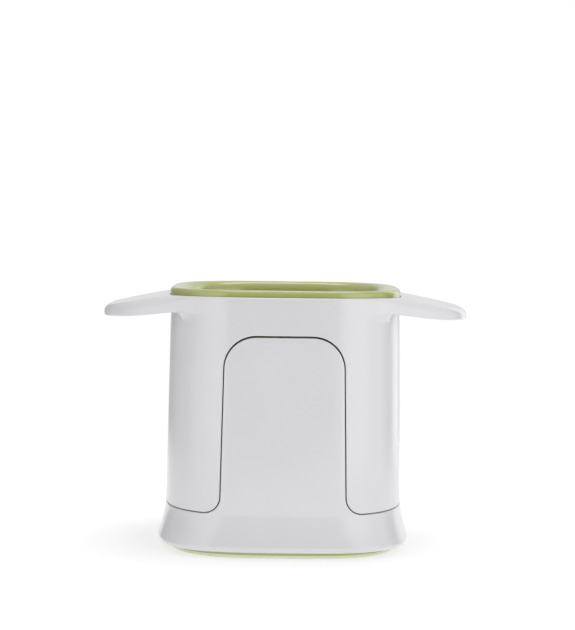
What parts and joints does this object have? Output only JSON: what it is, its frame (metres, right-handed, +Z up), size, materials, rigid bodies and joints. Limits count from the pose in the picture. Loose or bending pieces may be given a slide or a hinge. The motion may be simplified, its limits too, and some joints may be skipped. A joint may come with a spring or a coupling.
{
  "type": "push-down vegetable chopper",
  "caption": "Push-down vegetable chopper: a winged housing with a collecting cup and a blade grid slides over a base whose pegs pass up between the blades.",
  "frame": {"origin": "centre of the face that the foot ring rests on", "axes": "+Z up along the push-down slide, +X to the right along the two wings, -Y to the front panel"},
  "size_m": [0.145, 0.0988, 0.1018],
  "materials": {
    "white_plastic": "fine satin moulding",
    "lime_plastic": "satin moulding",
    "blade_steel": "ground edges",
    "screw_steel": "bright plated",
    "foot_rubber": "soft and matt"
  },
  "bodies": {
    "base": {"base_housing": "white_plastic", "guide_front": "lime_plastic", "guide_rear": "lime_plastic", "peg_plate": "lime_plastic", "base_screws": "screw_steel", "foot_ring": "foot_rubber"},
    "upper": {"upper_housing": "white_plastic", "cup": "lime_plastic", "blade_frame": "lime_plastic", "blade_x_1": "blade_steel", "blade_x_2": "blade_steel", "blade_x_3": "blade_steel", "blade_x_4": "blade_steel", "blade_x_5": "blade_steel", "blade_y_1": "blade_steel", "blade_y_2": "blade_steel", "blade_y_3": "blade_steel", "blade_y_4": "blade_steel", "blade_y_5": "blade_steel", "frame_screws": "screw_steel"}
  },
  "joints": [
    {"name": "push_slide", "type": "slide", "parent": "base", "child": "upper", "axis": [0, 0, 1], "range_m": [0, 0.075]}
  ]
}
